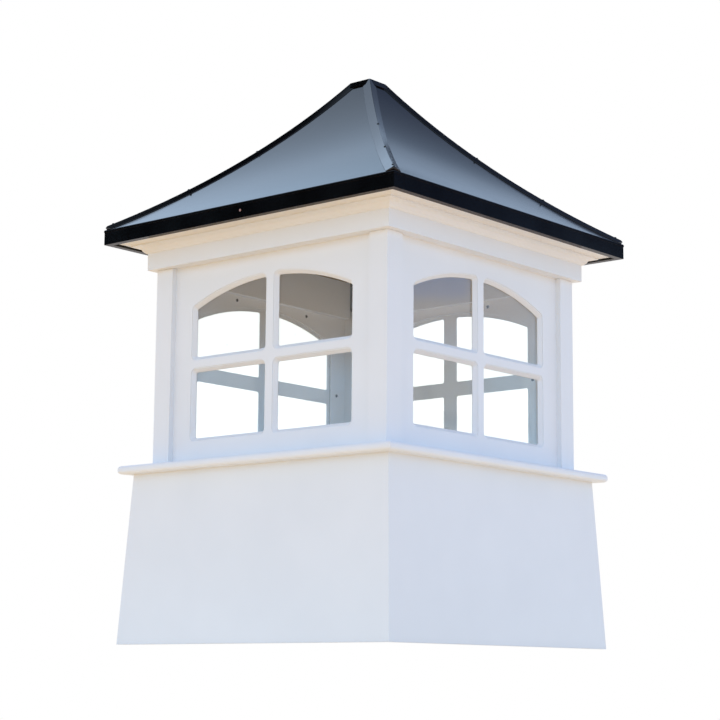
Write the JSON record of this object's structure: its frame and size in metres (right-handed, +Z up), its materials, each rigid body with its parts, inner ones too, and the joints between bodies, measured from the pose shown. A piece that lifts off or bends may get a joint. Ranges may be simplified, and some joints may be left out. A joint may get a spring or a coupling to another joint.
{
  "type": "barn cupola",
  "caption": "Square barn cupola with a flared skirt base, a glazed tower with arched divided windows and a concave hipped metal roof.",
  "frame": {"origin": "centre of the base's bottom edge, on the surface it stands on", "axes": "+Z up, -Y towards the front window, +X towards the right window"},
  "size_m": [1.007, 1.007, 1.541],
  "materials": {
    "white_pvc": "satin",
    "black_metal": "satin",
    "clear_glass": "gloss",
    "plywood": "matte"
  },
  "bodies": {
    "root": {"base_back": "white_pvc", "base_front": "white_pvc", "base_left": "white_pvc", "base_right": "white_pvc", "crown_back": "white_pvc", "crown_front": "white_pvc", "crown_left": "white_pvc", "crown_right": "white_pvc", "drip_edge_back": "black_metal", "drip_edge_front": "black_metal", "drip_edge_left": "black_metal", "drip_edge_right": "black_metal", "frieze_back": "white_pvc", "frieze_front": "white_pvc", "frieze_left": "white_pvc", "frieze_right": "white_pvc", "glass_back": "clear_glass", "glass_front": "clear_glass", "glass_left": "clear_glass", "glass_right": "clear_glass", "header_boards": "white_pvc", "hip_cap_back_left": "black_metal", "hip_cap_back_right": "black_metal", "hip_cap_front_left": "black_metal", "hip_cap_front_right": "black_metal", "post_back_left": "white_pvc", "post_back_right": "white_pvc", "post_front_left": "white_pvc", "post_front_right": "white_pvc", "roof_panel_back": "black_metal", "roof_panel_front": "black_metal", "roof_panel_left": "black_metal", "roof_panel_right": "black_metal", "roof_plate": "plywood", "sill_back": "white_pvc", "sill_front": "white_pvc", "sill_left": "white_pvc", "sill_right": "white_pvc", "top_cap": "black_metal", "window_panel_back": "white_pvc", "window_panel_front": "white_pvc", "window_panel_left": "white_pvc", "window_panel_right": "white_pvc"}
  },
  "joints": []
}
